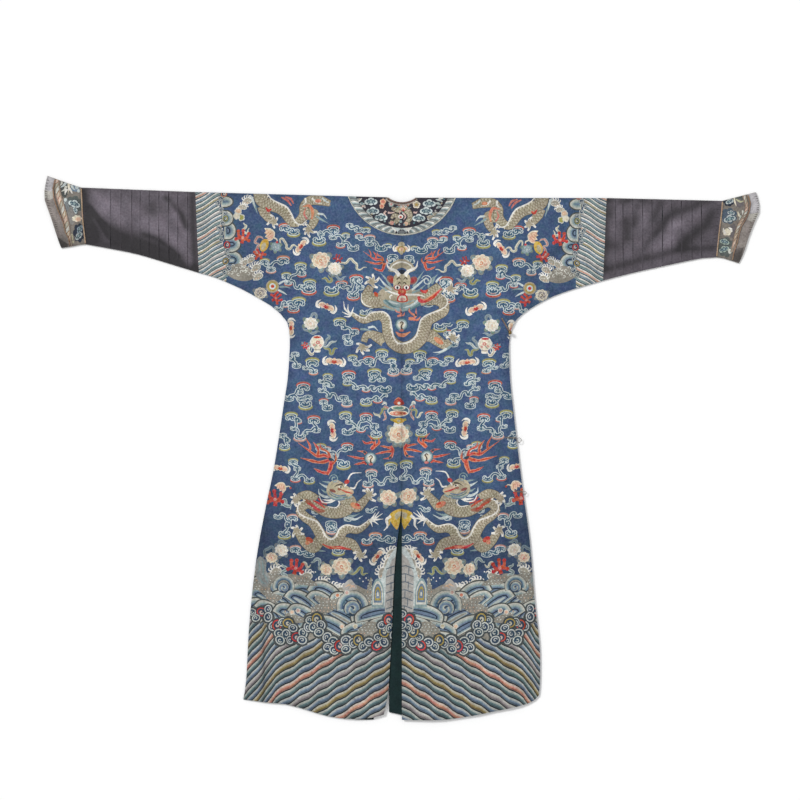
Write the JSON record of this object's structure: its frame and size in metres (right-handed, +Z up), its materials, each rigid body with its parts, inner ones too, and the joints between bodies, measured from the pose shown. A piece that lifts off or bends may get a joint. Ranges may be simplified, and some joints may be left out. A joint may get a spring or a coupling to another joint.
{
  "type": "chinese dragon robe",
  "caption": "Court robe of dark and blue silk with tucked sleeves, flared cuffs, round collar and dragon embroidery, laid flat with its back upwards.",
  "frame": {"origin": "on the ground, at the middle of the garment's bounding box seen from above", "axes": "+X across the sleeves towards the wearer's right, +Y from hem to collar, +Z up from the ground through the front to the back"},
  "size_m": [1.902, 1.4482, 0.015],
  "materials": {
    "blue_silk": "blue silk satin with polychrome embroidery: dragons, clouds, bats, waves and a striped hem",
    "green_lining": "plain dark green silk lining",
    "collar_silk": "dark silk satin embroidered with a dragon and clouds",
    "rope_silk": "embroidered twisted-rope border with a thin gold edge",
    "brown_binding": "brown silk binding and cord",
    "dark_silk": "plain dark silk, stitched in narrow tucks",
    "cuff_silk": "embroidered silk with clouds and a small dragon",
    "band_silk": "worn grey-brown silk band",
    "gold_cord": "couched gold-thread cord",
    "button_brass": "darkened brass ball"
  },
  "bodies": {
    "root": {"body_left": "blue_silk", "body_right": "blue_silk", "side_gore_left": "blue_silk", "front_overlap": "blue_silk", "vent_lining": "green_lining", "collar": "collar_silk", "collar_border": "rope_silk", "neck_binding": "brown_binding", "sleeve_left": "dark_silk", "sleeve_right": "dark_silk", "cuff_left": "cuff_silk", "cuff_right": "cuff_silk", "cuff_band_left": "band_silk", "cuff_band_right": "band_silk", "cuff_piping_left": "gold_cord", "cuff_piping_right": "gold_cord", "cuff_cord_left": "gold_cord", "cuff_cord_right": "gold_cord", "button_strap": "brown_binding", "button": "button_brass", "loop_upper": "brown_binding", "loop_lower": "brown_binding"}
  },
  "joints": []
}
